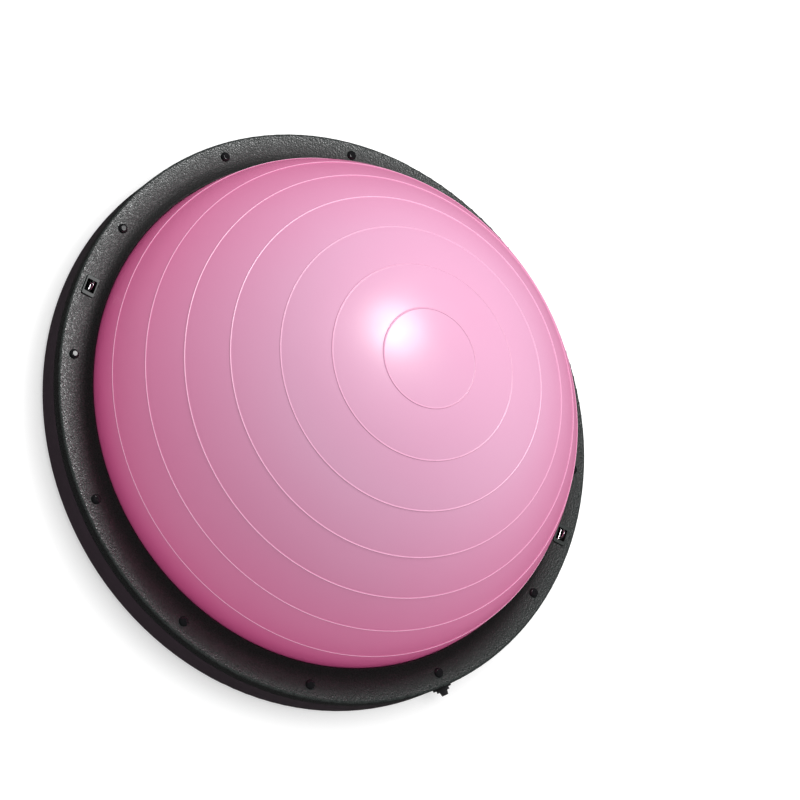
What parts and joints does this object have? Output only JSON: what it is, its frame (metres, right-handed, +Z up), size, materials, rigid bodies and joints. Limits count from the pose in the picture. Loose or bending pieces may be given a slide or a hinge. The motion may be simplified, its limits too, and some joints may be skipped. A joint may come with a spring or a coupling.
{
  "type": "balance dome trainer",
  "caption": "Inflatable half-round balance dome with thin grip rings, clamped to a flat round base, with band anchors on the rim and a side valve.",
  "frame": {"origin": "on the floor, under the crown of the dome, at the bottom centre of the object's box", "axes": "+Z up through the dome's crown, X through the two band anchors, Y through the two hand grips"},
  "size_m": [0.5799, 0.58, 0.2572],
  "materials": {
    "dome_rubber": "smooth satin pink rubber",
    "inner_rubber": "matte",
    "deck_plastic": "matte",
    "ring_plastic": "fine spark texture, matte dark grey",
    "pan_plastic": "smooth satin, near black",
    "grip_rubber": "soft matte",
    "dark_screw": "black zinc",
    "foot_rubber": "matte",
    "gloss_black": "glossy black dome",
    "insert_brass": "turned",
    "bezel_plastic": "satin dark grey",
    "loop_steel": "polished steel wire",
    "clip_steel": "spring steel",
    "valve_plastic": "satin black",
    "plug_rubber": "matte black"
  },
  "bodies": {
    "base": {"dome_skin": "dome_rubber", "dome_floor": "inner_rubber", "deck_plate": "deck_plastic", "clamp_ring": "ring_plastic", "base_pan": "pan_plastic", "grip_cup_rear": "grip_rubber", "grip_cup_front": "grip_rubber", "grip_screws": "dark_screw", "rubber_feet": "foot_rubber", "rim_screws": "gloss_black", "screw_inserts": "insert_brass", "anchor_bezel_right": "bezel_plastic", "anchor_bezel_left": "bezel_plastic", "anchor_pin_right": "loop_steel", "anchor_pin_left": "loop_steel", "anchor_clip_right": "clip_steel", "anchor_clip_left": "clip_steel", "valve_body": "valve_plastic", "valve_nut": "valve_plastic", "air_tube": "inner_rubber", "tube_clips": "clip_steel", "elbow_fitting": "valve_plastic"},
    "loop_right": {"anchor_loop_right": "loop_steel"},
    "loop_left": {"anchor_loop_left": "loop_steel"},
    "plug": {"valve_plug": "plug_rubber"}
  },
  "joints": [
    {"name": "loop_right_swing", "type": "hinge", "parent": "base", "child": "loop_right", "pos_m": [0.2755, 0, 0.0445], "axis": [0, 1, 0], "range_deg": [-40, 40]},
    {"name": "loop_left_swing", "type": "hinge", "parent": "base", "child": "loop_left", "pos_m": [-0.2755, 0, 0.0445], "axis": [0, 1, 0], "range_deg": [-40, 40]},
    {"name": "plug_pull", "type": "slide", "parent": "base", "child": "plug", "axis": [0.7373, -0.6756, 0], "range_m": [0, 0.016]}
  ]
}
